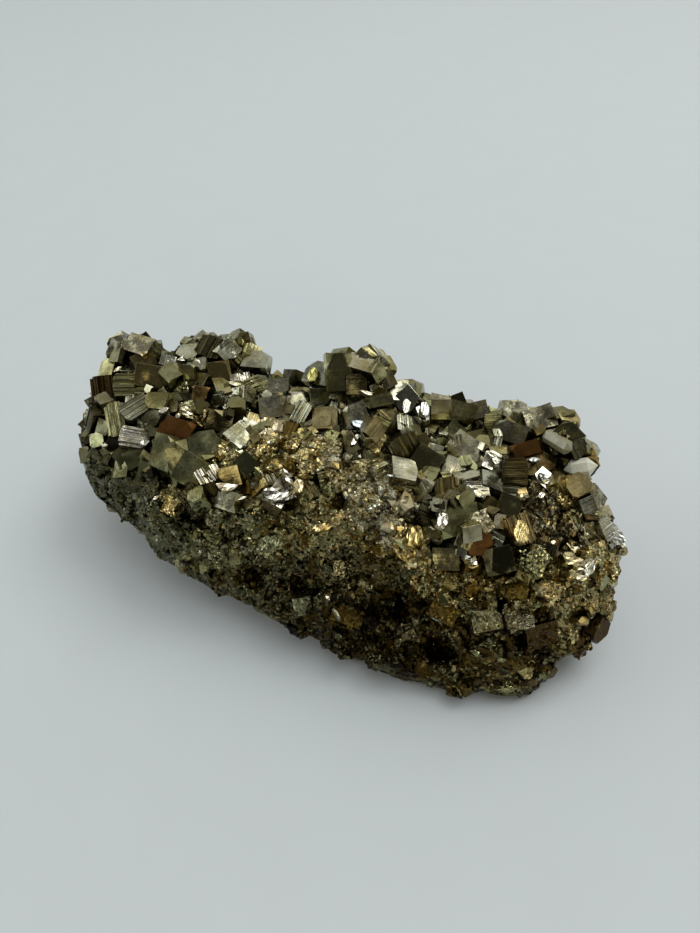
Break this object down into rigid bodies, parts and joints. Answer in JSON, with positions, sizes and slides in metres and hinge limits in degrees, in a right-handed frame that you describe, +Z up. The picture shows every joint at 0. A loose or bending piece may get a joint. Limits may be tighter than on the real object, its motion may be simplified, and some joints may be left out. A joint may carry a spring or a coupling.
{
  "type": "pyrite specimen",
  "caption": "Elongated hand specimen of pyrite: cube crystals grown together over a granular metallic lump, with small quartz prisms at one end. It rests on a flat on its underside.",
  "frame": {"origin": "middle of the bounding box, at the height of the flat that the specimen rests on", "axes": "X along the specimen's length, Y from its displayed front to its back, Z up"},
  "size_m": [0.145, 0.068, 0.0498],
  "materials": {
    "pyrite": "metallic lustre, tarnished olive to grey, with bright striated crystal faces",
    "quartz": "milky, slightly greenish, vitreous"
  },
  "bodies": {
    "root": {"pyrite_cluster": "pyrite", "quartz_crystal_long": "quartz", "quartz_crystal_short": "quartz"}
  },
  "joints": []
}
